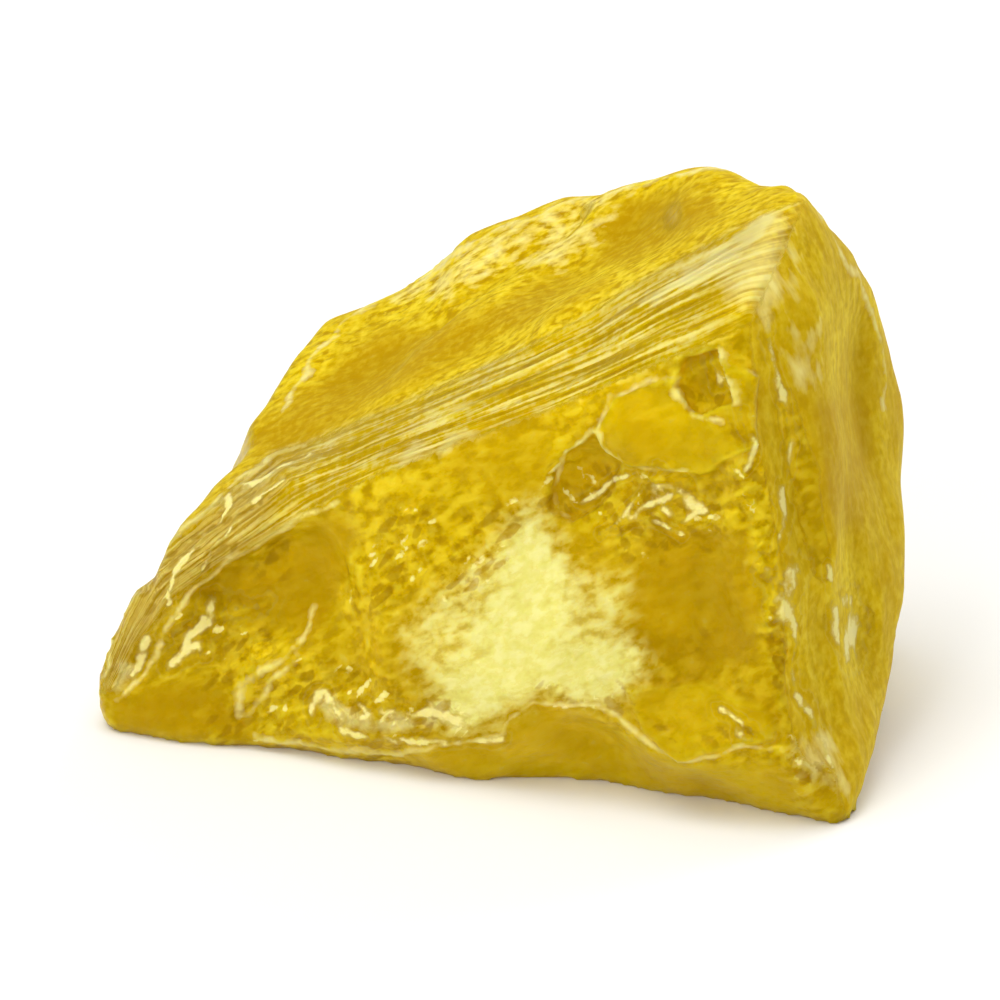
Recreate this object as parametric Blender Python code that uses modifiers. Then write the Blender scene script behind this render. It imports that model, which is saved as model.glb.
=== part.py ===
"""Raw fluorite: one broken chunk, resting on its flattest break.

The chunk is built in the order that nature made it. A block of crystal is trimmed
by its fracture planes, small slabs step off its ridges, shell-shaped flakes leave
hollows, and the skin is roughened. Every length here is in millimetres, and MM
turns it into metres when a mesh is stored.
"""

import math

import bmesh
import bpy
from mathutils import Matrix, Vector

MM = 0.001

# The heart of the chunk: the reach of every plane is measured from here.
HEART = Vector((0.0, 0.0, 11.0))
BLOCK_SIDE = 90.0

# Where the heart's foot stands, so that the middle of the chunk's box is at 0, 0.
FOOT = Vector((-0.1, -2.5, 0.0))

# Fracture planes: (bearing, tilt, reach). Bearing 0 faces -Y and 90 faces +X,
# tilt is degrees above the horizon, and reach is the distance from the heart.
FACETS = {
    "top": (-86, 58, 5.5),
    "bevel": (-59, 50, 6.1),
    "front": (-21, 7, 6.8),
    "right": (46, 12, 15.9),
    "right_back": (72, 9, 15.7),
    "upright": (61, 26, 17.4),
    "shoulder": (119, 35, 16.4),
    "side": (91, -4, 17.1),
    "left_back": (-111, 24, 10.9),
    "left_top": (-126, 44, 10.9),
    "left_low": (-101, -3, 17.3),
    "back_right": (137, 14, 14.5),
    "back": (172, 12, 13.2),
    "back_left": (-160, 29, 13.2),
    "back_top": (171, 58, 13.9),
    "under_front": (-17, -33, 11.7),
    "under_right": (81, -25, 19.2),
    "under_left": (-71, -31, 20.0),
}

# Wedges that stepped off along a ridge: facet, centre (the None is worked out from
# the facet), length, width, rise of the step, turn within the facet in degrees.
WEDGES = {
    "ridge_upper": ("bevel", (2.0, None, 19.6), 30.0, 1.7, 0.6, 0),
    "ridge_middle": ("bevel", (2.0, None, 18.7), 26.0, 1.4, 0.5, -1),
    "ridge_lower": ("bevel", (-1.0, None, 16.4), 30.0, 1.3, 0.5, 1),
    "right_edge": ("right", (13.2, None, 9.0), 20.0, 2.0, 0.6, 96),
    "plate_left": ("front", (6.8, None, 15.2), 6.0, 3.2, 0.8, 12),
    "crown": ("top", (0.0, 7.5, None), 9.0, 3.0, 0.9, 110),
    "back_stair": ("back", (-4.0, None, 12.0), 30.0, 7.0, 1.8, 18),
    "back_stair_low": ("back_right", (10.0, None, 7.0), 30.0, 6.0, 1.5, -12),
    "left_stair": ("left_back", (-12.5, None, 7.5), 26.0, 4.0, 0.9, 8),
}

# Shell-shaped hollows: facet, centre, half length, half width, depth, turn.
HOLLOWS = {
    "arm": ("front", (-10.2, None, 7.0), 4.4, 2.7, 1.6, 38),
    "arm_low": ("front", (-7.4, None, 5.0), 3.6, 2.8, 1.1, 75),
    "arm_tip": ("front", (-14.6, None, 3.9), 2.6, 1.0, 0.6, 36),
    "lobe_right": ("front", (-10.6, None, 1.8), 2.2, 1.3, 0.6, 50),
    "undercut": ("under_front", (4.5, None, 1.0), 7.0, 3.0, 0.8, -10),
    "arch": ("front", (3.8, None, 1.2), 3.1, 3.3, 1.8, 0),
    "lens": ("front", (3.4, None, 14.0), 1.9, 1.0, 0.9, 55),
    "lens_low": ("front", (5.6, None, 12.4), 2.4, 1.2, 0.7, 30),
    "chip": ("front", (8.6, None, 18.8), 1.5, 1.2, 0.9, 60),
    "chip_edge": ("front", (6.2, None, 18.6), 1.6, 0.9, 0.5, 20),
    "fold": ("front", (8.3, None, 8.8), 5.5, 2.3, 0.7, 92),
    "crown_dip": ("top", (4.0, 3.0, None), 6.5, 3.6, 0.7, 40),
    "notch": ("left_back", (-11.5, None, 11.0), 3.0, 1.8, 0.6, 60),
    "right_low": ("right_back", (15.4, None, 7.0), 6.0, 1.6, 0.5, 90),
    "right_high": ("right_back", (15.6, None, 16.0), 4.5, 1.8, 0.5, 84),
    "back_bowl": ("back", (2.0, None, 11.5), 6.0, 4.6, 1.3, 30),
    "back_left_bowl": ("back_left", (-9.0, None, 9.0), 5.0, 3.6, 1.1, -20),
    "back_top_bowl": ("back_top", (6.0, 11.0, None), 4.5, 3.0, 0.8, 15),
    "left_bowl": ("left_back", (-14.5, None, 5.0), 3.6, 2.4, 0.8, 0),
}
BALL_SEGMENTS = 48
BALL_RINGS = 32

# Relief over the whole skin: kind of pattern, size of one unit, height, and the
# share of the height that lies below the plane of each fracture.
RELIEF = {
    "swells": ("CLOUDS", 7.0, 1.3, 0.45),
    "shells": ("VORONOI", 6.0, 0.9, 0.15),
    "grain": ("CLOUDS", 1.8, 0.35, 0.45),
}
SKIN_MESH = 0.35
KEPT_SHARE = 0.155

AMBER_YELLOW = (0.58, 0.40, 0.01, 1.0)
WAXY_ROUGHNESS = 0.3


def outward(bearing, tilt):
    """The unit normal of a plane that faces a bearing and tilts up."""
    a, b = math.radians(bearing), math.radians(tilt)
    return Vector((math.sin(a) * math.cos(b), -math.cos(a) * math.cos(b), math.sin(b)))


def on_facet(facet, place):
    """The point of a facet's plane whose third coordinate is left as None."""
    bearing, tilt, reach = FACETS[facet]
    normal = outward(bearing, tilt)
    missing = place.index(None)
    point = Vector([0.0 if c is None else c for c in place])
    point[missing] = (reach + normal.dot(HEART) - normal.dot(point)) / normal[missing]
    return point


def facet_axes(facet, place, turn):
    """A frame on a facet: X along its level line, turned, and Z pointing out."""
    bearing, tilt, _ = FACETS[facet]
    normal = outward(bearing, tilt)
    level = Vector((0, 0, 1)).cross(normal).normalized()
    slope = normal.cross(level)
    axes = Matrix((level, slope, normal)).transposed().to_4x4()
    turned = axes @ Matrix.Rotation(math.radians(turn), 4, "Z")
    return Matrix.Translation(on_facet(facet, place)) @ turned


def trimmed_block():
    """The rough block, cut back to each fracture plane in turn."""
    bm = bmesh.new()
    bmesh.ops.create_cube(bm, size=BLOCK_SIDE)
    bmesh.ops.translate(bm, vec=HEART, verts=bm.verts)
    for bearing, tilt, reach in FACETS.values():
        normal = outward(bearing, tilt)
        cut = bmesh.ops.bisect_plane(
            bm,
            geom=bm.verts[:] + bm.edges[:] + bm.faces[:],
            plane_co=HEART + normal * reach,
            plane_no=normal,
            clear_outer=True,
        )
        rim = [g for g in cut["geom_cut"] if isinstance(g, bmesh.types.BMEdge)]
        bmesh.ops.edgeloop_fill(bm, edges=rim)
    bmesh.ops.recalc_face_normals(bm, faces=bm.faces)
    return bm


def wedge(facet, place, length, width, rise, turn):
    """A box tipped about its long side, so that it bites deepest along one edge."""
    bm = bmesh.new()
    bmesh.ops.create_cube(bm, size=1.0)
    bmesh.ops.scale(bm, vec=(length, width, width), verts=bm.verts)
    bmesh.ops.translate(bm, vec=(0, 0, width / 2), verts=bm.verts)
    tip = Matrix.Rotation(math.atan2(rise, width), 4, "X")
    bm.transform(facet_axes(facet, place, turn) @ Matrix.Translation((0, 0, -rise / 2)) @ tip)
    return bm


def flake(facet, place, half_length, half_width, depth, turn):
    """A stretched ball that leaves an oval hollow of the given outline and depth."""
    sag = depth / half_width
    radius = (1 + sag * sag) / (2 * sag)
    bm = bmesh.new()
    bmesh.ops.create_uvsphere(bm, u_segments=BALL_SEGMENTS, v_segments=BALL_RINGS, radius=radius)
    bmesh.ops.translate(bm, vec=(0, 0, radius - sag), verts=bm.verts)
    bmesh.ops.scale(bm, vec=(half_length, half_width, half_width), verts=bm.verts)
    bm.transform(facet_axes(facet, place, turn))
    return bm


def ground():
    """Everything below the level that the chunk rests on."""
    bm = bmesh.new()
    bmesh.ops.create_cube(bm, size=BLOCK_SIDE)
    bmesh.ops.translate(bm, vec=(0, 0, -BLOCK_SIDE / 2), verts=bm.verts)
    return bm


def add_object(name, bm, collection):
    """Stores a mesh drawn in millimetres as an object that stands at FOOT."""
    bm.transform(Matrix.Scale(MM, 4))
    mesh = bpy.data.meshes.new(name)
    bm.to_mesh(mesh)
    bm.free()
    obj = bpy.data.objects.new(name, mesh)
    obj.location = FOOT * MM
    collection.objects.link(obj)
    return obj


def cut_away(stone, name, bm, collection):
    """Takes the shape in bm away from the stone."""
    cutter = add_object(name, bm, collection)
    cutter.hide_render = True
    cutter.display_type = "WIRE"
    boolean = stone.modifiers.new(name, "BOOLEAN")
    boolean.operation = "DIFFERENCE"
    boolean.solver = "EXACT"
    boolean.object = cutter


def close_skin(stone, name):
    """An even, closed skin, which also mends places where the relief met itself."""
    skin = stone.modifiers.new(name, "REMESH")
    skin.mode = "VOXEL"
    skin.voxel_size = SKIN_MESH * MM
    skin.use_smooth_shade = True


def roughen(stone):
    """The broken skin: broad swells, shell marks and a fine grain."""
    close_skin(stone, "even_skin")
    for name, (kind, size, height, below) in RELIEF.items():
        texture = bpy.data.textures.new(name, kind)
        texture.noise_scale = size * MM
        if kind == "VORONOI":
            texture.distance_metric = "DISTANCE_SQUARED"
        move = stone.modifiers.new(name, "DISPLACE")
        move.texture = texture
        move.texture_coords = "LOCAL"
        move.strength = height * MM
        move.mid_level = below
    close_skin(stone, "mended_skin")
    thin = stone.modifiers.new("thin_out", "DECIMATE")
    thin.ratio = KEPT_SHARE


def fluorite():
    """Yellow fluorite: waxy on its breaks, and not metallic."""
    material = bpy.data.materials.new("fluorite")
    material.use_nodes = True
    finish = material.node_tree.nodes["Principled BSDF"].inputs
    finish["Base Color"].default_value = AMBER_YELLOW
    finish["Roughness"].default_value = WAXY_ROUGHNESS
    finish["Metallic"].default_value = 0.0
    return material


def main():
    for obj in list(bpy.data.objects):
        bpy.data.objects.remove(obj)
    parts = bpy.data.collections.new("Raw fluorite")
    cutters = bpy.data.collections.new("Cutters")
    for collection in (parts, cutters):
        bpy.context.scene.collection.children.link(collection)

    stone = add_object("fluorite_stone", trimmed_block(), parts)
    stone.data.materials.append(fluorite())
    for name, place in WEDGES.items():
        cut_away(stone, "wedge_" + name, wedge(*place), cutters)
    for name, place in HOLLOWS.items():
        cut_away(stone, "hollow_" + name, flake(*place), cutters)
    roughen(stone)
    cut_away(stone, "ground", ground(), cutters)


if __name__ == "__main__":
    main()
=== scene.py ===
"""Raw fluorite: the looks of one broken yellow crystal on a pale studio floor."""

import math
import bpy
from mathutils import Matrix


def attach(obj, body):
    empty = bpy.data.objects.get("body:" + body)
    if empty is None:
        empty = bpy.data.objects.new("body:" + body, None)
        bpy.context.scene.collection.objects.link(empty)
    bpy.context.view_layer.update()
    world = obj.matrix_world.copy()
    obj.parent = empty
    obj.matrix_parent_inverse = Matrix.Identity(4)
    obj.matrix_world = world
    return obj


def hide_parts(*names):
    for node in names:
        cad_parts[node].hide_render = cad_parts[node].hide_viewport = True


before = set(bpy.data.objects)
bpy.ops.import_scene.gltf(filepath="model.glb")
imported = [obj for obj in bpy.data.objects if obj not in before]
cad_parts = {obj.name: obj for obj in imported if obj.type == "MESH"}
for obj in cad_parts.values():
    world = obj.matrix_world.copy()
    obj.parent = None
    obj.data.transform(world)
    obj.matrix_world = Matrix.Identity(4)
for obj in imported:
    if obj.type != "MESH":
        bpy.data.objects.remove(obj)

from types import SimpleNamespace

import bmesh
import bpy
import numpy as np
from bpy.props import FloatProperty, FloatVectorProperty, PointerProperty
from mathutils import Vector, noise

bl_info = {
    "name": "Raw Fluorite Chunk",
    "version": (1, 0, 0),
    "blender": (4, 5, 0),
    "location": "View3D > Sidebar > Fluorite",
    "description": "Finishes one chunk of raw yellow fluorite and its studio",
    "category": "Add Mesh",
}

MM = 0.001
NODE = "fluorite_stone"
# Sockets of the Mix node when it mixes colours.
MIX_SHARE, MIX_FIRST, MIX_SECOND, MIX_COLOUR = 0, 6, 7, 2

# The way that the front breaks face.
FRONT = Vector((0, -0.93, 0.37))
# Axes of the crystal's grain: along the ridge, into the chunk, and up square to both.
GRAIN = np.array(((0.832, -0.263, 0.489), (0.205, 0.964, 0.170), (-0.530, -0.040, 0.850)))
# Level axis across the right break.
AROUND = np.array((0.3, 0.954, 0.0))

# Marks on the front breaks are drawn on a sheet that leans back 22 degrees: each is
# millimetres to the right and millimetres up the sheet.
SHEET_LEAN = math.radians(22)
SHEET = np.array(((1, 0), (0, math.sin(SHEET_LEAN)), (0, math.cos(SHEET_LEAN))))
# The ridge is a band of grooves between an upper and a lower line.
UPPER_LINE = (
    (12.8, 21.0), (10.8, 20.2), (8.6, 19.0), (6.0, 17.6), (3.7, 16.1), (1.2, 14.8), (-1.0, 13.8),
    (-3.4, 12.8), (-5.6, 11.8), (-7.6, 11.0), (-9.8, 10.4), (-12.4, 8.0), (-15.2, 5.6), (-16.4, 3.2),
    (-17.5, 0.0),
)
LOWER_LINE = (
    (10.4, 15.8), (8.2, 14.8), (6.0, 13.9), (3.9, 13.0), (1.8, 12.1), (-0.4, 11.3), (-2.6, 10.5),
    (-5.0, 9.6), (-7.0, 8.7), (-8.8, 7.6), (-10.8, 6.3), (-12.5, 5.2), (-14.2, 4.0), (-15.8, 2.0),
    (-16.8, 0.2),
)
# Worn corner where the ridge ends at the right break.
CORNER = ((13.0, 21.2), (12.2, 18.5), (10.8, 15.8), (11.6, 12.5))
CORNER_REACH = 3.0
# Milky veil: a healed crack full of tiny bubbles just under the front break.
VEIL = (
    (1.4, 8.4), (2.4, 6.6), (3.2, 5.5), (5.4, 4.8), (5.2, 3.3), (6.0, 2.0), (6.1, 0.9), (4.9, -0.4),
    (3.5, -0.4), (1.7, 0.0), (0.0, -1.2), (-2.0, -1.7), (-2.9, -1.1), (-3.2, 0.3), (-4.2, 1.0),
    (-4.4, 2.8), (-3.4, 3.8), (-2.3, 4.7), (-1.1, 6.1), (0.0, 7.0),
)
# Its brightest folds.
FOLDS = (
    ((-2.4, -1.2), (-0.2, 1.0), (1.2, 3.7), (1.4, 7.9)),
    ((-0.2, 1.0), (2.3, 1.0), (5.6, 0.7)),
)
FOLD_REACH = 2.4
# Plates and hollows of the front break: outline, height, width of their edge.
PLATES = (
    # shell plate under the ridge
    (((7.4, 13.6), (4.8, 12.6), (3.9, 11.3), (4.5, 10.4), (5.4, 10.0), (6.8, 9.8), (8.4, 9.4),
      (10.6, 10.6), (10.7, 13.5), (9.2, 14.5)), 0.34, 0.25),
    # square chip broken out of it
    (((7.6, 14.3), (8.9, 14.7), (9.4, 13.9), (9.8, 12.4), (8.7, 11.8), (7.7, 12.0),
      (7.3, 13.2)), -0.45, 0.2),
    # leaf-shaped hollow
    (((3.9, 10.9), (4.9, 10.0), (4.7, 8.7), (3.8, 7.9), (2.8, 7.3), (2.1, 7.9), (2.1, 9.2),
      (2.9, 10.3)), -0.4, 0.3),
    # smooth window beside the veil
    (((5.7, 7.1), (7.9, 7.3), (10.3, 6.5), (10.7, 3.6), (10.4, 1.1), (8.2, 0.9), (6.3, 1.7),
      (5.4, 2.5), (5.3, 4.4)), -0.3, 1.4),
    # plate that hangs over the undercut
    (((5.3, 0.2), (6.6, 0.5), (8.7, 0.6), (11.1, -0.2), (11.5, -1.8), (9.3, -2.2), (7.5, -2.7),
      (6.0, -1.5)), 0.34, 0.3),
    # scoop at the left
    (((-13.4, 4.3), (-11.2, 5.7), (-8.7, 7.1), (-6.5, 7.9), (-6.2, 6.3), (-6.8, 4.0), (-7.9, 2.1),
      (-9.8, 2.4), (-11.2, 3.5)), -0.3, 1.2),
)
# Clear amber zones of the front breaks: thick and clear, so light goes far in them.
AMBER_ZONES = (
    # window beside the veil
    ((5.7, 7.1), (7.9, 7.2), (10.3, 6.5), (10.7, 3.6), (10.4, 1.1), (8.2, 0.9), (6.3, 1.7),
     (5.4, 2.5), (5.3, 4.4)),
    # scoop, its deeper amber partly painted shade of the hollow
    ((-13.4, 4.1), (-11.2, 5.5), (-8.7, 6.9), (-6.7, 7.6), (-6.4, 6.1), (-7.0, 4.1), (-8.1, 2.5),
     (-9.8, 2.8), (-11.2, 3.5)),
    # top break: beside the peak, and from the left end along the ridge
    ((3.9, 18.4), (4.2, 20.0), (5.5, 21.4), (8.9, 21.8), (9.4, 20.4), (7.4, 19.2), (5.2, 18.0)),
    ((-9.2, 11.2), (-8.0, 13.6), (-5.6, 15.6), (-2.0, 16.0), (1.0, 17.6), (4.2, 18.2), (4.4, 17.4),
     (2.0, 16.2), (-1.0, 14.7), (-4.5, 13.0), (-7.8, 11.2)),
    # under the arm, its deeper amber partly painted shade of the overhang
    ((-16.8, -0.3), (-13.6, 0.6), (-11.6, -0.2), (-10.8, -2.2), (-16.5, -1.7)),
    # middle of the right break
    ((13.2, 12.6), (14.4, 13.0), (15.8, 12.4), (16.1, 10.0), (15.6, 7.2), (14.0, 6.6), (13.2, 8.5)),
    # leaf-shaped hollow
    ((3.9, 10.9), (4.9, 10.0), (4.7, 8.7), (3.8, 7.9), (2.8, 7.3), (2.1, 7.9), (2.1, 9.2),
     (2.9, 10.3)),
)
# Calm zones: flat cleavage faces with few marks.
CALM_ZONES = (
    # shell plate and square chip
    ((7.4, 13.4), (4.8, 12.4), (4.1, 11.3), (4.7, 10.5), (6.8, 10.0), (8.4, 9.6), (10.2, 10.6),
     (10.4, 13.5), (9.2, 14.4)),
    # plate that hangs over the undercut
    ((5.3, 0.2), (8.7, 0.6), (11.1, -0.2), (11.5, -1.8), (9.3, -2.2), (7.5, -2.7), (6.0, -1.5)),
    # undercut
    ((1.7, -0.5), (3.7, -0.7), (5.8, -1.8), (7.4, -2.8), (11.6, -2.9), (13.4, -6.0), (3.0, -4.6),
     (-6.0, -3.6), (-4.0, -2.6), (0.1, -1.7)),
    # foot of the left end
    ((-16.8, -0.3), (-12.0, 0.2), (-11.4, -1.6), (-16.5, -2.2)),
)
# Pale zones: frosted by many small cracks.
FROSTED_ZONES = (
    # along the upper edge of the ridge, and at its middle
    ((11.9, 20.3), (11.0, 20.6), (8.5, 18.8), (6.1, 17.2), (5.0, 16.2), (6.7, 16.5), (9.1, 17.6),
     (11.3, 19.0)),
    ((-5.0, 10.2), (-3.8, 10.9), (-1.9, 11.3), (-0.4, 11.8), (-0.7, 11.1), (-2.6, 9.9), (-4.4, 9.7)),
    ((-1.5, 13.9), (0.2, 14.5), (1.9, 14.9), (0.9, 14.3), (-0.5, 13.7)),
    # crushed spot at the low end of the milky veil
    ((-8.3, -0.2), (-7.5, 0.1), (-5.3, -0.9), (-2.8, -0.4), (-2.3, -1.4), (-4.3, -1.9), (-7.3, -1.7)),
    # arm: its tip, and the patch where it meets the top break
    ((-17.0, 0.3), (-16.6, 1.5), (-15.5, 1.7), (-15.3, 1.1), (-16.6, -0.2)),
    ((-10.1, 9.8), (-8.1, 10.2), (-8.4, 9.7), (-10.9, 8.9), (-11.2, 9.2)),
)
# Glowing zones: a painted glow where light that went astray near an edge comes out again, with no sharp
# border.
GLOW_ZONES = (
    # far edge of the top break, and the flaw beside it
    ((-4.6, 17.3), (-0.6, 19.6), (3.4, 21.6), (5.6, 22.0), (4.6, 21.0), (1.0, 19.2), (-2.4, 17.2)),
    ((0.7, 18.7), (2.1, 20.0), (4.0, 20.7), (4.8, 20.6), (3.9, 19.5), (2.7, 18.6), (1.1, 18.2)),
    # corner between the ridge and the right break
    ((8.6, 18.2), (10.5, 20.0), (12.0, 20.7), (12.4, 18.5), (11.8, 16.4), (11.0, 15.6), (9.6, 16.6)),
    ((12.2, 15.4), (13.2, 15.6), (13.4, 13.8), (12.9, 12.4), (12.1, 13.2)),
    # lowest corner of the right break
    ((12.3, -2.0), (13.4, -1.4), (14.6, -2.6), (14.4, -4.2), (13.2, -4.0), (12.4, -3.4)),
)
# Long lips and crack edges that catch the light from end to end: line, width.
LONG_LINES = (
    # shell plate, square chip and leaf-shaped hollow of the upper front
    (((7.4, 13.6), (6.1, 13.2), (4.5, 12.6), (4.1, 11.7), (4.5, 10.5), (6.1, 9.7), (7.9, 9.7)), 0.15),
    (((9.1, 14.6), (9.5, 13.8), (9.9, 12.6)), 0.28),
    (((7.3, 13.9), (7.3, 12.6), (8.2, 11.6), (9.5, 11.6)), 0.14),
    (((4.2, 11.4), (2.7, 10.2), (2.2, 8.6), (2.7, 7.4)), 0.14),
    # claw-shaped cracks of the lower left
    (((-11.3, -1.1), (-11.3, 0.3), (-10.6, 0.9), (-9.3, 1.4), (-8.6, 2.3)), 0.19),
    (((-10.9, -1.1), (-9.9, 0.6), (-8.7, 1.4), (-8.3, 3.7)), 0.16),
    # rims of the top and right breaks
    (((-9.6, 11.9), (-8.3, 14.4), (-6.8, 16.2), (-4.3, 17.6), (-1.2, 19.5), (2.0, 21.0), (4.8, 21.8),
      (7.0, 22.2), (9.2, 22.6), (11.6, 22.1)), 0.13),
    (((13.4, 20.6), (15.2, 17.8), (16.2, 15.0), (16.6, 12.3)), 0.12),
    # lip over the undercut
    (((-10.6, -1.9), (-8.5, -2.3), (-4.4, -2.5), (-2.0, -2.1), (0.0, -1.6), (1.3, -0.4), (3.7, -0.4),
      (4.9, -0.7), (6.3, -2.1), (7.6, -2.7), (9.1, -2.5), (10.4, -1.9), (11.4, -2.3)), 0.13),
    # arm: its two edges
    (((-6.9, 8.2), (-9.3, 7.1), (-11.2, 6.0), (-12.7, 4.9), (-13.9, 3.7), (-15.5, 0.9),
      (-16.6, -0.3)), 0.14),
    (((-10.1, 10.2), (-12.4, 8.0), (-14.7, 6.2), (-15.6, 4.9), (-16.6, 2.8), (-17.2, 0.6)), 0.14),
)
# Shorter cracks and chipped lips, which break off here and there.
BRIGHT_LINES = (
    # upper front
    (((8.5, 14.5), (9.0, 13.5)), 0.2),
    (((10.1, 12.2), (10.5, 10.5), (10.1, 9.5)), 0.12),
    (((6.4, 8.9), (7.3, 8.8), (8.2, 7.9)), 0.3),
    (((7.0, 8.0), (7.7, 7.5), (8.4, 7.8)), 0.15),
    (((4.8, 7.1), (6.1, 8.0), (7.3, 8.6)), 0.15),
    (((4.2, 6.8), (5.4, 8.0), (6.7, 9.8)), 0.13),
    (((5.1, 7.7), (6.4, 7.4), (7.6, 6.8)), 0.14),
    (((3.1, 8.2), (4.9, 9.3), (5.8, 9.6)), 0.13),
    # chips and flecks of the lower left, partly painted highlights on the lobe's edge
    (((-12.3, 3.9), (-12.8, 2.9), (-13.5, 2.3)), 0.24),
    (((-12.9, 3.2), (-13.7, 1.9)), 0.18),
    (((-13.1, 2.0), (-14.4, 1.3)), 0.22),
    (((-11.5, 3.6), (-10.4, 3.9)), 0.22),
    (((-8.1, -0.8), (-7.6, 0.0), (-6.9, -1.1)), 0.22),
    (((-6.3, -0.4), (-5.6, -1.2)), 0.22),
    (((-5.0, -0.9), (-3.2, -0.6), (-1.9, -1.1)), 0.26),
    (((-6.9, -1.6), (-4.4, -2.0), (-2.6, -2.1), (-0.1, -1.8)), 0.17),
    # corner between the front and right breaks: cracks, and painted highlights along its ridge
    (((11.0, 16.0), (11.4, 14.2), (11.9, 12.3), (12.1, 10.5), (11.9, 8.0), (11.7, 5.5)), 0.15),
    (((11.7, 5.5), (12.2, 2.5), (12.5, 0.6), (13.1, -1.5), (14.2, -3.4)), 0.17),
    (((11.4, 5.2), (11.7, 4.2), (12.1, 5.4), (11.9, 3.4)), 0.32),
    (((14.7, 4.0), (15.0, 2.8), (14.8, 1.5)), 0.24),
    (((13.7, 5.5), (14.1, 3.7), (14.4, 1.8)), 0.13),
    (((9.4, -0.6), (10.7, -1.2), (11.0, -1.8), (10.1, -1.5)), 0.17),
    # creases of the arm
    (((-8.1, 10.2), (-10.3, 9.2), (-11.5, 8.6), (-12.7, 6.8), (-13.9, 5.5), (-14.6, 4.0),
      (-15.8, 1.2)), 0.13),
    (((-9.3, 9.2), (-10.9, 8.0), (-12.1, 6.5), (-13.3, 5.2)), 0.13),
    (((-14.9, 5.2), (-14.3, 3.9), (-15.4, 2.4), (-16.0, 0.9)), 0.13),
)

# The next three mark places on the chunk by rods: start, end, radius, in millimetres.

# Smaller milky clouds of the back.
MILKY = (
    ((-5.0, 13.0, 9.0), (-2.0, 13.5, 12.0), 4.0),
    ((6.0, 11.0, 14.0), (8.0, 10.0, 16.0), 3.0),
)
# Clear amber depths.
AMBER = (
    ((-9.0, 1.0, 12.2), (-3.0, 0.6, 15.6), 3.0),
    ((9.0, 10.0, 10.0), (11.0, 9.0, 5.0), 5.0),
    ((-9.0, 9.0, 7.0), (-11.0, 6.0, 5.0), 4.0),
)
# Hackly places, where the crystal broke into small steps and slivers.
HACKLY = (
    ((3.2, -10.0, 13.4), (8.4, -12.4, 13.2), 2.0),
    ((0.0, -9.6, 11.4), (-2.0, -10.2, 9.4), 1.8),
    ((-8.4, -7.4, 3.4), (-2.0, -10.2, 3.0), 1.4),
    ((-6.0, -8.0, 8.0), (-4.0, -9.0, 11.0), 1.8),
    ((-14.2, -5.2, 5.2), (-11.0, -6.0, 4.6), 1.4),
    ((-11.6, -6.4, 3.6), (-10.0, -6.8, 2.4), 1.3),
    ((7.6, -11.6, 18.6), (9.2, -12.2, 18.4), 1.2),
    ((10.4, -13.0, 16.0), (12.6, -15.4, 3.0), 0.9),
    ((13.4, -13.0, 2.6), (12.2, -14.6, 3.0), 1.6),
    ((2.0, -12.2, 4.8), (5.4, -13.0, 5.4), 1.0),
    ((-6.0, 14.0, 6.0), (4.0, 15.0, 8.0), 2.4),
    ((-17.4, -4.0, 2.0), (-9.0, -3.0, 11.0), 1.6),
)
# Shell-shaped breaks: where the blow landed, and how far its ripples run, in mm.
SHELLS = (
    ((-10.0, -4.0, 10.5), 6.0),
    ((8.4, -13.5, 14.5), 6.0),
    ((2.0, 12.0, 17.0), 9.0),
    ((-14.0, 4.0, 7.0), 7.0),
)
RIPPLE_SPACING = 1.3

# Slivers lean to the right up to this many mm right of the middle, and to the left beyond.
SLIVER_TURN = 2.5
# Their width over their length, and the size in mm and the shift of their two kinds.
SLIVER_SHAPE = 0.35
BIG_SLIVERS, SMALL_SLIVERS = (0.9, 2.0), (0.42, 11.0)
# Share of the small slivers that glint, and of those that lie in shade.
GLINTING, SHADED = 0.45, 0.3
ROOT_TWO = 1.414
# Sets the tilts of neighbouring slivers apart.
JUMBLE = 37.3

# Soft noises: the size of their lumps in mm, and a shift that sets each apart.
LUMPS = {
    "warp": (2.6, 0.0),
    "fine warp": (0.9, 7.0),
    "sideways": (1.4, 31.0),
    "upwards": (1.4, 47.0),
    "swell": (3.6, 3.0),
    "fine swell": (1.5, 5.0),
    "hackly": (3.4, 21.0),
    "lace": (1.0, 61.0),
    "fine lace": (0.45, 67.0),
    "patch": (5.0, 83.0),
    "zone": (4.0, 71.0),
    "fine zone": (1.7, 73.0),
    "break": (1.3, 79.0),
}
# Noises drawn out along the grain: how close their waves are across it and along it, and a shift.
COMBS = {
    "groove": (7.5, 0.09, 9.0),
    "hair": (18, 0.14, 2.0),
    "streak": (1.1, 0.07, 5.0),
    "flute": (0.9, 0.07, 1.0),
}

# How squarely a break has to face its way: where that starts to count, and where it counts in full.
FRONT_FACING = (0.0, 0.25)
TOP_FACING = (0.55, 0.75)
RIGHT_FACING = (0.5, 0.7)
PLAIN_TOP = (0.7, 0.85)
PLAIN_RIGHT = (0.75, 0.9)
# The skin is halved once more where it faces the front more than this, from this height up.
FINE_FACING = 0.4
FINE_HEIGHT = 0.4 * MM
# Rounds that soften the whole skin, flatten its plain breaks, and blend the two.
SOFTENING, FLATTENING, BLENDING = 4, 30, 6

# How far drawn marks stray from their lines, in mm.
WOBBLE = 0.3
# Borders, in mm inside an outline: where each kind of zone starts, and where it is whole.
RIDGE_EDGE = (-0.45, 0.35)
AMBER_EDGE = (-0.5, 0.7)
FROST_EDGE = (-0.3, 0.8)
GLOW_EDGE = (-1.4, 1.2)
CALM_EDGE = (-0.3, 0.3)
VEIL_EDGE = (-1.0, 1.2)
# The arm is the low left part of the ridge: mm left of the middle where it starts and is whole.
ARM_START = (8.0, 10.5)
# Relief fades out over this height above the floor, in mm.
FOOT = 0.6
# How high the lips of cracks stand, in mm, and a gap that counts as far away.
LIP_HEIGHT = 0.04
FAR = 6.0
# Points lower than this, in mm, rest on the floor and stay where they are.
RESTING = 0.02

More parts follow.
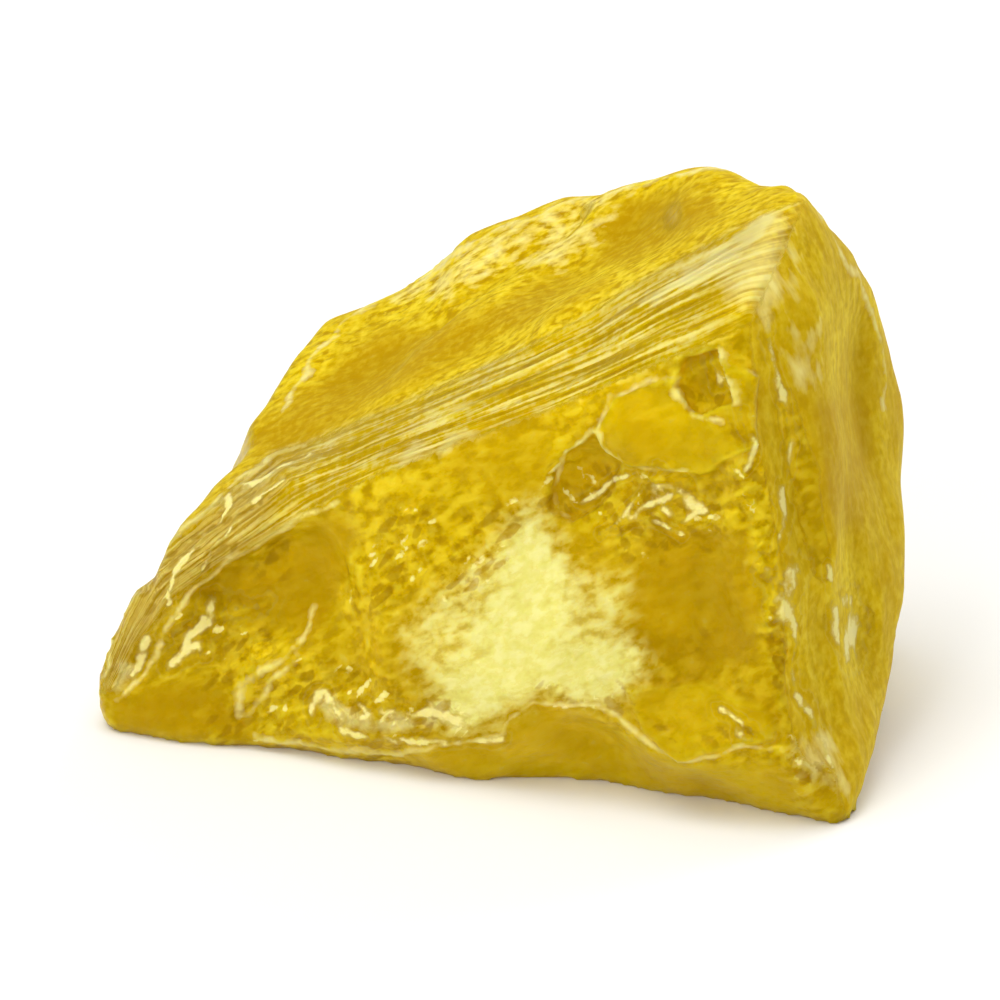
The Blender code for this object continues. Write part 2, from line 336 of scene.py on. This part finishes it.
# Fine patterns of the finish: the size of a speck, and the width of a streak in the coordinates
# of the grain. A sheaf of cracks goes through this many radians of its wave in each width.
SPECK = 0.4 * MM
STREAK = 0.2
SHEAF = 3.4
# Height of the small waves of a break, and how far light spreads under the skin.
WAVE = 0.1 * MM
GLOW_REACH = 2.0 * MM

# Camera: where it looks, from how high and how far, and how wide it sees there. Its sensor is
# in mm, and the rest in metres and radians.
VIEW_TARGET = Vector((-0.1, -3.2, 10.25)) * MM
VIEW_ELEVATION = math.radians(22)
VIEW_DISTANCE = 0.5
VIEW_WIDTH = 43.07 * MM
SENSOR = 36.0
NEAREST = 0.01

# Soft boxes: position and side in metres, power in watts.
LAMPS = {
    "overhead_softbox": ((-0.15, -0.10, 0.80), 0.70, 5.0),
    "front_softbox": ((-0.45, -0.75, 0.45), 0.50, 4.0),
    "back_softbox": ((0.50, 0.60, 0.40), 0.50, 3.0),
}
LAMP_TARGET = (0, 0, 0.01)
ROOM_LIGHT = 0.40
# The floor reaches this far each way, in metres, and lies just clear of the chunk.
FLOOR_REACH = 3.0
FLOOR_GAP = 0.05 * MM


def rgb(code):
    """A six-digit sRGB hex colour as linear red, green, blue and full alpha."""
    parts = [int(code[i : i + 2], 16) / 255 for i in (0, 2, 4)]
    linear = [c / 12.92 if c <= 0.04045 else ((c + 0.055) / 1.055) ** 2.4 for c in parts]
    return (*linear, 1.0)


class FluoriteSettings(bpy.types.PropertyGroup):
    """Sizes and colours of the chunk and its studio."""

    skin_mesh: FloatProperty(
        name="Skin mesh",
        description="Spacing of the points that carry the fine relief",
        default=0.29 * MM,
        unit="LENGTH",
    )
    swell_height: FloatProperty(
        name="Swells",
        description="Height of the soft swells on the breaks",
        default=0.07 * MM,
        unit="LENGTH",
    )
    ripple_height: FloatProperty(
        name="Shell ripples",
        description="Height of the ripples that run out from a blow",
        default=0.03 * MM,
        unit="LENGTH",
    )
    groove_depth: FloatProperty(
        name="Ridge grooves",
        description="Depth of the grooves that run along the ridge",
        default=0.1 * MM,
        unit="LENGTH",
    )
    sliver_height: FloatProperty(
        name="Slivers",
        description="Height of the slivers that stand up in hackly places",
        default=0.3 * MM,
        unit="LENGTH",
    )
    yellow: FloatVectorProperty(
        name="Yellow",
        description="Clear yellow of the crystal",
        default=rgb("ECCC00"),
        subtype="COLOR",
        size=4,
    )
    gold: FloatVectorProperty(
        name="Gold",
        description="Warmer yellow between the clear zones",
        default=rgb("DEBC00"),
        subtype="COLOR",
        size=4,
    )
    amber: FloatVectorProperty(
        name="Amber",
        description="Deeper amber of thick places",
        default=rgb("D2AA00"),
        subtype="COLOR",
        size=4,
    )
    # This colour also paints shade: painted shade on slivers that lie in shade, beside cracks, and over
    # the top and right breaks.
    umber: FloatVectorProperty(
        name="Umber",
        description="Dark pits, streaks, grooves and coats",
        default=rgb("AE8600"),
        subtype="COLOR",
        size=4,
    )
    pale: FloatVectorProperty(
        name="Pale",
        description="Light scattered just under the skin",
        default=rgb("F4DE38"),
        subtype="COLOR",
        size=4,
    )
    milk: FloatVectorProperty(
        name="Milk",
        description="Bright strands in the milky clouds",
        default=rgb("F0ECAC"),
        subtype="COLOR",
        size=4,
    )
    # This colour also paints light: painted highlights on glinting slivers, on the corner ridge and on
    # chips of the lower left, and a painted glow near edges.
    lip: FloatVectorProperty(
        name="Lips",
        description="Fresh lips of cracks and slivers, and frost",
        default=rgb("F6EC9A"),
        subtype="COLOR",
        size=4,
    )
    veil: FloatVectorProperty(
        name="Veil",
        description="Clouds of tiny bubbles",
        default=rgb("E0DA78"),
        subtype="COLOR",
        size=4,
    )
    shine: FloatVectorProperty(
        name="Shine",
        description="Tint of the waxy gloss",
        default=rgb("FFE050"),
        subtype="COLOR",
        size=4,
    )
    floor_colour: FloatVectorProperty(
        name="Floor",
        description="Pale studio floor",
        default=rgb("F4F4F2"),
        subtype="COLOR",
        size=4,
    )


def smoothstep(values, low, high):
    """0 up to low, 1 from high on, with a soft change between them."""
    share = np.clip((values - low) / (high - low), 0, 1)
    return share * share * (3 - 2 * share)


def near(points, rods, warp):
    """How close each point lies to a list of rods: 1 on a rod's axis, 0 beyond its radius."""
    best = np.zeros(len(points))
    for start, end, radius in rods:
        gap = line_gap(points, (start, end)) / radius
        best = np.maximum(best, np.clip(1 - (gap + warp) ** 2, 0, 1))
    return best


def line_gap(points, line):
    """Distance from each point to a line drawn through its corners."""
    corners = np.array(line, dtype=float)
    best = np.full(len(points), np.inf)
    for start, end in zip(corners, corners[1:]):
        along = end - start
        share = np.clip((points - start) @ along / (along @ along), 0, 1)
        best = np.minimum(best, np.linalg.norm(points - start - share[:, None] * along, axis=1))
    return best


def inside(drawing, outline):
    """Depth of each drawn point inside a closed outline, negative outside it."""
    corners = np.array((*outline, outline[0]), dtype=float)
    x, z = drawing.T
    crossings = np.zeros(len(drawing), dtype=int)
    for (x0, z0), (x1, z1) in zip(corners, corners[1:]):
        spans = (z0 > z) != (z1 > z)
        rise = z1 - z0 if z1 != z0 else 1e-9
        crossings += spans & (x < x0 + (x1 - x0) * (z - z0) / rise)
    return line_gap(drawing, corners) * np.where(crossings % 2 == 1, 1, -1)


def zone_share(drawing, outlines, edge, rough=0.0):
    """How far each drawn point is inside any of the outlines: 0 and 1 at the two ends of the edge."""
    return np.max([smoothstep(inside(drawing, outline) + rough, *edge) for outline in outlines], axis=0)


def lumps(points, kind):
    """Soft noise between -1 and 1, of one of the kinds in LUMPS."""
    size, shift = LUMPS[kind]
    offset = Vector((shift, shift * 0.7, -shift))
    return np.array([noise.noise(Vector(p) / size + offset) for p in points])


def combs(across, along, kind):
    """Soft noise drawn out along the grain, of one of the kinds in COMBS."""
    close, long, shift = COMBS[kind]
    return np.array([noise.noise(Vector((a * close, b * long, shift))) for a, b in zip(across, along)])


def shards(points, size, shift):
    """A surface broken into flat slivers.

    Returns each point's height on its own tilted sliver, how near it lies to the
    sliver's border, and a random share that the whole sliver has in common.
    """
    offset = Vector((shift, -shift, shift * 0.4))
    height, border, share = (np.empty(len(points)) for _ in range(3))
    for i, p in enumerate(points):
        spot = Vector(p) / size + offset
        gaps, middles = noise.voronoi(spot)
        middle = middles[0]
        tilt = noise.cell_vector(middle * JUMBLE)
        height[i] = (spot - middle).dot(tilt - Vector((0.5, 0.5, 0.5)))
        border[i] = 1 - min(1, (gaps[1] - gaps[0]) * 3)
        share[i] = tilt.x
    return height * size, border, share


def neighbour_mean(values, pairs):
    """The mean of each point's neighbours."""
    total = np.zeros_like(values)
    count = np.zeros(len(values))
    for a, b in ((0, 1), (1, 0)):
        np.add.at(total, pairs[:, a], values[pairs[:, b]])
        np.add.at(count, pairs[:, a], 1)
    return total / (count[:, None] if values.ndim > 1 else count)


def smooth(values, pairs, rounds):
    """Values drawn halfway to the mean of their neighbours, once each round."""
    for _ in range(rounds):
        values = (values + neighbour_mean(values, pairs)) / 2
    return values


def read(items, name, width):
    """One property of a mesh's points or edges, as an array with one row for each."""
    values = np.empty(len(items) * width)
    items.foreach_get(name, values)
    return values.reshape(-1, width)


def put(mesh, points):
    """Puts a mesh's points at places given in millimetres."""
    mesh.vertices.foreach_set("co", (points * MM).ravel())
    mesh.update()


def fine_mesh(spacing):
    """The CAD solid's mesh, with points close enough together for the fine relief."""
    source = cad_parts[NODE]
    work = bpy.data.objects.new("work", source.data.copy())
    bpy.context.collection.objects.link(work)
    remesh = work.modifiers.new("skin", "REMESH")
    remesh.mode = "VOXEL"
    remesh.voxel_size = spacing
    remesh.use_smooth_shade = True
    view = bpy.context.evaluated_depsgraph_get()
    mesh = bpy.data.meshes.new_from_object(work.evaluated_get(view))
    bpy.data.objects.remove(work)

    # The front breaks carry the finest marks, so their faces are halved once more.
    finer = bmesh.new()
    finer.from_mesh(mesh)
    front = {v for v in finer.verts if v.normal.dot(FRONT) > FINE_FACING and v.co.z > FINE_HEIGHT}
    edges = [e for e in finer.edges if all(v in front for v in e.verts)]
    bmesh.ops.subdivide_edges(finer, edges=edges, cuts=1, use_grid_fill=True)
    finer.to_mesh(mesh)
    finer.free()
    for face in mesh.polygons:
        face.use_smooth = True
    return mesh


def soften(mesh, pairs):
    """Takes the solid's facets out of the skin, most of all on plain breaks and the worn corner."""
    points = read(mesh.vertices, "co", 3) / MM
    facets = read(mesh.vertices, "normal", 3)
    softened = smooth(points, pairs, SOFTENING)
    flatter = smooth(softened, pairs, FLATTENING)
    plain = np.maximum(smoothstep(facets[:, 2], *PLAIN_TOP), smoothstep(facets[:, 0], *PLAIN_RIGHT))
    worn = smoothstep(-line_gap(points @ SHEET, CORNER), -CORNER_REACH, -0.3) * (facets[:, 1] < 0.2)
    plain = np.maximum(plain, worn)
    softened += smooth(plain, pairs, BLENDING)[:, None] * (flatter - softened)
    resting = points[:, 2] < RESTING
    softened[resting] = points[resting]
    return softened


def crack_gap(at, lines):
    """Each point's distance from the nearest of a list of cracks, in that crack's widths."""
    gaps = np.min([line_gap(at.drawing, line) / width for line, width in lines], axis=0)
    return np.where(at.facing > 0.02, gaps, FAR)


def survey(points, normals):
    """Where each point lies on the chunk: lengths are in mm, and shares run from 0 to 1."""
    at = SimpleNamespace(points=points, normals=normals)
    at.warp = 0.35 * lumps(points, "warp") + 0.25 * lumps(points, "fine warp")
    at.facing = smoothstep(normals @ np.array(FRONT), *FRONT_FACING)
    at.run, at.side, at.rise = (points @ axis for axis in GRAIN)
    at.turn = points @ AROUND
    at.sheet = points @ SHEET
    wobble = np.stack([lumps(points, "sideways"), lumps(points, "upwards")], axis=1)
    at.drawing = at.sheet + WOBBLE * wobble
    at.lip_gap, at.crack_gap = crack_gap(at, LONG_LINES), crack_gap(at, BRIGHT_LINES)

    # The grooves of the ridge run between its two lines and meet at its low tip.
    up_gap, low_gap = line_gap(at.sheet, UPPER_LINE), line_gap(at.sheet, LOWER_LINE)
    at.across = low_gap / (up_gap + low_gap)
    band = inside(at.sheet, (*UPPER_LINE, *reversed(LOWER_LINE)))
    at.combed = smoothstep(band, *RIDGE_EDGE) * at.facing
    at.strip = at.combed * smoothstep(line_gap(at.sheet, CORNER), 0.2, CORNER_REACH)
    at.arm = at.strip * smoothstep(-at.sheet[:, 0], *ARM_START)
    at.top = smoothstep(normals[:, 2], *TOP_FACING) * (1 - at.strip)
    at.right = smoothstep(normals[:, 0], *RIGHT_FACING)

    # Slivers, longest along the grain, stand up where the break is hackly.
    hackly = smoothstep(near(points, HACKLY, at.warp), 0.1, 0.7)
    hackly = np.maximum(hackly, 0.8 * smoothstep(lumps(points, "hackly"), 0.0, 0.4))
    hackly *= (1 - at.strip) * (1 - 0.8 * at.top) * (1 - 0.8 * at.right)
    at.hackly = np.maximum(hackly, 0.8 * at.arm)
    lean = np.where(at.sheet[:, 0] < SLIVER_TURN, 1, -1)
    slant = (at.sheet[:, 0] * lean + at.sheet[:, 1]) / ROOT_TWO
    square = (at.sheet[:, 0] - at.sheet[:, 1] * lean) / ROOT_TWO
    leaning = np.stack((slant * SLIVER_SHAPE, square, at.side), axis=1) + 0.3 * at.warp[:, None]
    at.big, _, _ = shards(leaning, *BIG_SLIVERS)
    at.small, at.border, at.luck = shards(leaning, *SMALL_SLIVERS)
    return at


def relief(at, look):
    """Where each point of the softened skin goes, with its grooves, swells, plates and slivers."""
    # Grooves of the ridge, faint streaks on the top break and upright flutes on the right break.
    groove = look.groove_depth / MM
    grooves = combs(at.across, at.run, "groove") + 0.9 * combs(at.across, at.run, "hair")
    lift = groove * grooves * at.strip
    lift += 0.3 * groove * combs(at.side, at.run, "streak") * at.top
    lift += 0.5 * groove * combs(at.turn, at.points[:, 2], "flute") * at.right

    # Soft swells, and the ripples of shell-shaped breaks.
    swell = look.swell_height / MM * (1 - 0.6 * np.maximum(at.top, at.right))
    lift += swell * (lumps(at.points, "swell") + 0.35 * lumps(at.points, "fine swell"))
    for centre, reach in SHELLS:
        gap = np.linalg.norm(at.points - np.array(centre), axis=1)
        fade = np.clip(1 - gap / reach, 0, 1)
        wave = np.sin(gap * 2 * math.pi / RIPPLE_SPACING + 2 * at.warp)
        lift += look.ripple_height / MM * fade * wave

    for outline, height, edge in PLATES:
        lift += height * at.facing * smoothstep(inside(at.drawing, outline), -edge / 2, edge / 2)
    lift += look.sliver_height / MM * at.hackly * (0.8 * at.big + at.small)
    lift += LIP_HEIGHT * smoothstep(-np.minimum(at.lip_gap, at.crack_gap), -0.9, -0.2)
    lift *= smoothstep(at.points[:, 2], 0.0, FOOT)
    return at.points + at.normals * lift[:, None]


def worn_and_glowing_rims(moved, normals, pairs):
    """1 on sharp rims, which stand out from the points round them."""
    hollow = neighbour_mean(moved, pairs) - moved
    bulge = -np.einsum("ij,ij->i", hollow, normals)
    return smoothstep(smooth(bulge, pairs, 1), 0.02, 0.06)


def milky_places(at, lace):
    """The veil, brightest along its folds, and the smaller clouds of the back."""
    depth = np.where(at.facing > 0.3, inside(at.drawing, VEIL), -FAR)
    gaps = np.min([line_gap(at.drawing, fold) for fold in FOLDS], axis=0)
    folds = np.clip(1 - gaps / FOLD_REACH, 0, 1)
    veil = smoothstep(depth, *VEIL_EDGE) * (0.62 + 0.38 * smoothstep(folds, 0, 0.8))
    return np.maximum(veil, 0.8 * smoothstep(near(at.points, MILKY, at.warp) + 0.3 * lace, 0.2, 0.9))


def amber_places(at):
    """Thick and clear places: drawn ones and the arm in front, and wide patches elsewhere."""
    patch = smoothstep(lumps(at.points, "patch"), 0.0, 0.3) * (1 - at.facing * (1 - 0.4 * at.right))
    amber = np.maximum(near(at.points, AMBER, at.warp * 0.8), np.maximum(0.8 * at.arm, 0.9 * patch))
    return np.maximum(amber, at.facing * zone_share(at.drawing, AMBER_ZONES, AMBER_EDGE))


def frost_and_glow_places(at, lace):
    """Places that many small cracks have made pale, and glowing ones near an edge."""
    frost = at.facing * zone_share(at.drawing, FROSTED_ZONES, FROST_EDGE, 0.3 * lace)
    glow = 0.7 * at.facing * zone_share(at.drawing, GLOW_ZONES, GLOW_EDGE, 0.5 * lace)
    return np.maximum(np.maximum(frost, glow), 0.5 * at.arm)


def finish_masks(at, rim, pairs):
    """For each point, the share of each mark of the finish, and the gaps of its cracks."""
    lace = lumps(at.points, "lace") + 0.6 * lumps(at.points, "fine lace")
    amber = amber_places(at)
    calm = np.maximum(amber, at.facing * zone_share(at.drawing, CALM_ZONES, CALM_EDGE))
    zones = smoothstep(lumps(at.points, "zone") + 0.5 * lumps(at.points, "fine zone"), -0.3, 0.3)
    # Drawn cracks break off here and there, where this adds to their gaps.
    breaks = 1.1 * smoothstep(-lumps(at.points, "break"), -0.1, 0.35)
    marks = 0.3 + 0.15 * zones + 0.15 * at.strip
    quiet = 1 - 0.4 * at.right
    clouds = 0.12 + 0.35 * at.hackly + 0.15 * zones + 0.3 * at.top + 0.15 * at.right
    # Painted shade: the top and right breaks are made darker, more so in amber places.
    top_and_right_shade = np.maximum(at.top * (0.25 + 0.5 * amber), at.right * (0.35 + 0.25 * amber))
    return {
        "zones": zones,
        "milky": milky_places(at, lace),
        "amber": smooth(amber, pairs, 2),
        "cloud": clouds * (1 - 0.6 * calm),
        # Frost, and a painted glow near edges.
        "frost": frost_and_glow_places(at, lace),
        # Pale sharp rims: partly wear, partly painted light where thin edges let light through.
        "rim": smooth(rim, pairs, 1),
        "ridge": at.strip * (1 - 0.7 * at.arm),
        # Pale and dark streaks; fewer pale and more dark ones on the top break are painted shade.
        "light": (marks - 0.1 * at.top) * (1 - 0.7 * calm) * quiet,
        "dark": (marks + 0.3 * at.arm + 0.4 * at.top) * (1 - 0.7 * calm * (1 - at.arm)) * quiet,
        "dense": smooth(np.maximum(at.top, at.right), pairs, 2),
        "top_and_right_shade": smooth(top_and_right_shade, pairs, 2),
        # Painted highlights on the slivers that glint.
        "glint": np.where(at.luck > 1 - GLINTING, 1 - at.border, 0) * at.hackly,
        # Painted shade on the slivers that lie in shade.
        "shade": np.where(at.luck < SHADED, 1 - at.border, 0) * at.hackly,
        "line": at.crack_gap + breaks,
        "lip": np.minimum(at.lip_gap + 0.6 * breaks, FAR),
    }


def grain_places(at):
    """The grain's own coordinates in each place, with fine streaks along the second of them."""
    still = np.zeros(len(at.points))
    grain = np.stack((at.side * 0.5, at.run * 0.25, at.rise * 0.5), axis=1)
    for kept, *path in (
        (at.right > 0.5, at.turn * 0.4, at.points[:, 2] * 0.14, still),
        (at.top > 0.5, at.side * 0.5, at.run * 0.25, still),
        (at.combed > 0.5, at.across * 4.2, at.run * 0.045, still),
    ):
        grain[kept] = np.stack(path, axis=1)[kept]
    return grain


def add(tree, kind, inputs=None, out=0, **settings):
    """Adds a node, gives it its settings, fills its sockets, and returns one of its outputs."""
    made = tree.nodes.new(kind)
    for name, value in settings.items():
        setattr(made, name, value)
    for socket, value in (inputs or {}).items():
        if isinstance(value, bpy.types.NodeSocket):
            tree.links.new(value, made.inputs[socket])
        else:
            made.inputs[socket].default_value = value
    return made.outputs[out] if made.outputs else None


def broken_fluorite(look, masks):
    """Yellow fluorite, freshly broken.

    The crystal lets light in and turns it amber on its way through. Breaks are
    waxy to glassy, cracks and worn edges scatter a paler light, and veils of tiny
    bubbles make milky clouds.
    """
    material = bpy.data.materials.new("broken_fluorite")
    material.use_nodes = True
    tree = material.node_tree
    tree.nodes.clear()
    place = add(tree, "ShaderNodeTexCoord", out="Object")
    grain = add(tree, "ShaderNodeAttribute", out="Vector", attribute_name="grain")
    mask = {name: add(tree, "ShaderNodeAttribute", out="Fac", attribute_name=name) for name in masks}

    # Fine patterns: specks from 0.4 mm down, and streaks drawn out along the grain.
    specks, streaks = (
        add(tree, "ShaderNodeTexNoise", {"Vector": along, "Scale": 1 / width, "Detail": 3.0}, "Fac")
        for along, width in ((place, SPECK), (grain, STREAK))
    )
    # Levels made ragged by them: the pattern, its strength, and the level that it is added to.
    ragged = add(tree, "ShaderNodeMath", {0: specks, 1: 2.6, 2: mask["line"]}, operation="MULTIPLY_ADD")
    worn = add(tree, "ShaderNodeMath", {0: specks, 1: 3.0, 2: mask["lip"]}, operation="MULTIPLY_ADD")
    # The painted highlights of glinting slivers, made ragged by specks and streaks.
    glint_level = add(tree, "ShaderNodeMath", {0: specks, 1: 0.9, 2: mask["glint"]}, operation="MULTIPLY_ADD")
    glint_level = add(tree, "ShaderNodeMath", {0: streaks, 1: 0.9, 2: glint_level}, operation="MULTIPLY_ADD")
    wispy = add(tree, "ShaderNodeMath", {0: specks, 1: 0.5, 2: streaks}, operation="MULTIPLY_ADD")
    feather = add(tree, "ShaderNodeMath", {0: wispy, 1: mask["milky"]}, operation="ADD")
    # Frost and painted glow, made ragged by streaks.
    frosted = add(tree, "ShaderNodeMath", {0: streaks, 1: mask["frost"]}, operation="ADD")

    # Creases lie where the streaks pass their middle level.
    middle = add(tree, "ShaderNodeMath", {0: streaks, 1: 0.5}, operation="SUBTRACT")
    crease = add(tree, "ShaderNodeMath", {0: middle}, operation="ABSOLUTE")
    # Cracks come in sheaves: fainter lines run beside each, about two widths apart, out to five.
    turns = add(tree, "ShaderNodeMath", {0: ragged, 1: SHEAF}, operation="MULTIPLY")
    fringe = add(tree, "ShaderNodeMath", {0: turns}, operation="SINE")
    beside = add(tree, "ShaderNodeMapRange", {"Value": mask["line"], 1: 5.0, 2: 1.0})

    # Each pattern as a share from 0 to 1 between two of its levels, and the places it is kept to.
    share = {}
    for name, value, low, high, *kept in (
        ("specks", specks, 0.48, 0.66, mask["cloud"]),
        ("pits", specks, 0.46, 0.34, mask["cloud"]),
        ("light", streaks, 0.50, 0.62, mask["light"]),
        ("dark", streaks, 0.50, 0.38, mask["dark"]),
        ("comb", wispy, 0.74, 0.90, mask["ridge"], 0.7),
        ("strands", wispy, 0.62, 0.92, mask["milky"], 0.5),
        ("creases", crease, 0.02, 0.006, mask["milky"], 0.15),
        ("fringe", fringe, 0.3, 0.9, beside, 0.2),
        ("fringe_dark", fringe, -0.3, -0.9, beside, 0.25),
        ("glint", glint_level, 1.78, 1.92, 0.8),
        ("shade", mask["shade"], 0.3, 0.7, 0.6),
        ("line", ragged, 2.3, 1.7, 0.85),
        # Painted shade beside the cracks.
        ("groove", ragged, 3.0, 2.0, 0.4),
        ("lip", worn, 2.8, 1.5, 0.7),
        ("zones", mask["zones"], 0, 1),
        ("amber", mask["amber"], 0, 1, 0.75),
        ("dense", mask["dense"], 0, 1, 0.8),
        ("top_and_right_shade", mask["top_and_right_shade"], 0, 1),
        ("frost", frosted, 0.85, 1.30, 0.8),
        ("veil", feather, 0.95, 1.60, 0.95),
        ("rim", mask["rim"], 0, 1, 0.4),
    ):
        whole = add(tree, "ShaderNodeMapRange", {"Value": value, 1: low, 2: high})
        for part in kept:
            whole = add(tree, "ShaderNodeMath", {0: whole, 1: part}, operation="MULTIPLY")
        share[name] = whole

    # Colours are laid over one another in this order.
    base = look.gold[:]
    # Among these, glint is a painted highlight; shade, groove and the darker top and right breaks are
    # painted shade; frost and rim are partly painted light.
    for name, colour in (
        ("zones", look.yellow), ("amber", look.amber), ("top_and_right_shade", look.umber), ("dark", look.umber),
        ("pits", look.umber), ("specks", look.pale), ("light", look.pale), ("frost", look.lip),
        ("comb", look.lip), ("veil", look.veil), ("rim", look.pale), ("fringe_dark", look.umber),
        ("shade", look.umber), ("fringe", look.veil), ("groove", look.umber), ("strands", look.milk),
        ("creases", look.gold), ("lip", look.lip), ("glint", look.lip), ("line", look.lip),
    ):
        mix = {MIX_SHARE: share[name], MIX_FIRST: base, MIX_SECOND: colour[:]}
        base = add(tree, "ShaderNodeMix", mix, MIX_COLOUR, data_type="RGBA")

    # Veils, slivers, cracks and rough breaks hold back the light that clear crystal lets through.
    cloudy = share["veil"]
    for name in ("line", "lip", "glint", "rim", "light", "dense"):
        cloudy = add(tree, "ShaderNodeMath", {0: cloudy, 1: share[name]}, operation="MAXIMUM")
    clear = add(tree, "ShaderNodeMapRange", {"Value": cloudy, 3: 0.52, 4: 0.08})
    rough = add(tree, "ShaderNodeMapRange", {"Value": mask["dense"], 3: 0.3, 4: 0.62})

    # Small relief: a break is wavy, and combed along its grain.
    height = add(tree, "ShaderNodeMath", {0: specks, 1: 0.4, 2: streaks}, operation="MULTIPLY_ADD")
    normal = add(tree, "ShaderNodeBump", {"Height": height, "Strength": 0.7, "Distance": WAVE})

    crystal = add(
        tree, "ShaderNodeBsdfPrincipled",
        {
            "Base Color": base,
            "Roughness": rough,
            "IOR": 1.434,
            "Specular IOR Level": 0.08,
            "Specular Tint": look.shine[:],
            "Transmission Weight": clear,
            "Subsurface Weight": 0.7,
            "Subsurface Radius": (1.0, 0.85, 0.12),
            "Subsurface Scale": GLOW_REACH,
            "Normal": normal,
        },
    )
    # 10 mm of crystal stops nearly all blue, an eighth of the green and little red.
    tint = {"Color": (0.990, 0.975, 0.0, 1.0), "Density": 500.0}
    depth = add(tree, "ShaderNodeVolumeAbsorption", tint)
    add(tree, "ShaderNodeOutputMaterial", {"Surface": crystal, "Volume": depth})
    return material


def pale_floor(look):
    """Matt laminate floor, pale and nearly without gloss."""
    material = bpy.data.materials.new("pale_laminate")
    material.use_nodes = True
    tree = material.node_tree
    tree.nodes.clear()
    laminate = {"Base Color": look.floor_colour[:], "Roughness": 0.7}
    sheet = add(tree, "ShaderNodeBsdfPrincipled", laminate)
    add(tree, "ShaderNodeOutputMaterial", {"Surface": sheet})
    return material


class FLUORITE_OT_stone(bpy.types.Operator):
    """Gives the chunk its fine broken skin and its crystal finish"""

    bl_idname = "fluorite.stone"
    bl_label = "Finish the Chunk"

    def execute(self, context):
        look = context.scene.fluorite
        mesh = fine_mesh(look.skin_mesh)
        mesh.name = "fluorite_chunk"
        pairs = read(mesh.edges, "vertices", 2).astype(int)
        softened = soften(mesh, pairs)
        put(mesh, softened)
        at = survey(softened, read(mesh.vertices, "normal", 3))
        moved = relief(at, look)
        masks = finish_masks(at, worn_and_glowing_rims(moved, at.normals, pairs), pairs)
        moved[:, 2] = np.maximum(moved[:, 2], 0.0)
        put(mesh, moved)
        for name, values in masks.items():
            drawn = mesh.attributes.new(name, "FLOAT", "POINT")
            drawn.data.foreach_set("value", values.astype(np.float32))
        drawn = mesh.attributes.new("grain", "FLOAT_VECTOR", "POINT")
        drawn.data.foreach_set("vector", grain_places(at).astype(np.float32).ravel())
        mesh.materials.clear()
        mesh.materials.append(broken_fluorite(look, masks))

        chunk = bpy.data.objects.new("fluorite_chunk", mesh)
        context.collection.objects.link(chunk)
        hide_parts(NODE)
        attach(chunk, "root")
        return {"FINISHED"}


def aim(thing, target):
    """Turns a camera or lamp to face a point."""
    thing.rotation_euler = (Vector(target) - thing.location).to_track_quat("-Z", "Y").to_euler()


class FLUORITE_OT_studio(bpy.types.Operator):
    """Adds the pale floor, the soft boxes and the camera"""

    bl_idname = "fluorite.studio"
    bl_label = "Add the Studio"

    def execute(self, context):
        scene = context.scene
        look = scene.fluorite
        sheet = bmesh.new()
        bmesh.ops.create_grid(sheet, x_segments=2, y_segments=2, size=FLOOR_REACH)
        mesh = bpy.data.meshes.new("studio_floor")
        sheet.to_mesh(mesh)
        sheet.free()
        mesh.materials.append(pale_floor(look))
        floor = bpy.data.objects.new("studio_floor", mesh)
        floor.location.z = -FLOOR_GAP
        context.collection.objects.link(floor)

        for name, (spot, side, power) in LAMPS.items():
            lamp = bpy.data.lights.new(name, "AREA")
            lamp.shape = "SQUARE"
            lamp.size = side
            lamp.energy = power
            obj = bpy.data.objects.new(name, lamp)
            obj.location = spot
            aim(obj, LAMP_TARGET)
            context.collection.objects.link(obj)

        world = bpy.data.worlds.new("white_room")
        world.use_nodes = True
        sky = world.node_tree.nodes["Background"].inputs
        sky["Color"].default_value = (1, 1, 1, 1)
        sky["Strength"].default_value = ROOM_LIGHT
        scene.world = world
        scene.view_settings.view_transform = "Standard"

        camera = bpy.data.objects.new("camera", bpy.data.cameras.new("camera"))
        camera.data.sensor_width = SENSOR
        camera.data.lens = SENSOR * VIEW_DISTANCE / VIEW_WIDTH
        camera.data.clip_start = NEAREST
        back = Vector((0, -math.cos(VIEW_ELEVATION), math.sin(VIEW_ELEVATION)))
        camera.location = VIEW_TARGET + back * VIEW_DISTANCE
        aim(camera, VIEW_TARGET)
        context.collection.objects.link(camera)
        scene.camera = camera
        return {"FINISHED"}


class FLUORITE_PT_panel(bpy.types.Panel):
    """Lists the steps that finish the chunk"""

    bl_idname = "FLUORITE_PT_panel"
    bl_label = "Raw Fluorite"
    bl_space_type = "VIEW_3D"
    bl_region_type = "UI"
    bl_category = "Fluorite"

    def draw(self, context):
        for name in FluoriteSettings.__annotations__:
            self.layout.prop(context.scene.fluorite, name)
        for step in STEPS:
            self.layout.operator(step.bl_idname)


STEPS = (FLUORITE_OT_studio, FLUORITE_OT_stone)
CLASSES = (FluoriteSettings, *STEPS, FLUORITE_PT_panel)


def register():
    for cls in CLASSES:
        bpy.utils.register_class(cls)
    bpy.types.Scene.fluorite = PointerProperty(type=FluoriteSettings)


def unregister():
    del bpy.types.Scene.fluorite
    for cls in reversed(CLASSES):
        bpy.utils.unregister_class(cls)


def main():
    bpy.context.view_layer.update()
    register()
    bpy.ops.fluorite.studio()
    bpy.ops.fluorite.stone()


if __name__ == "__main__":
    main()
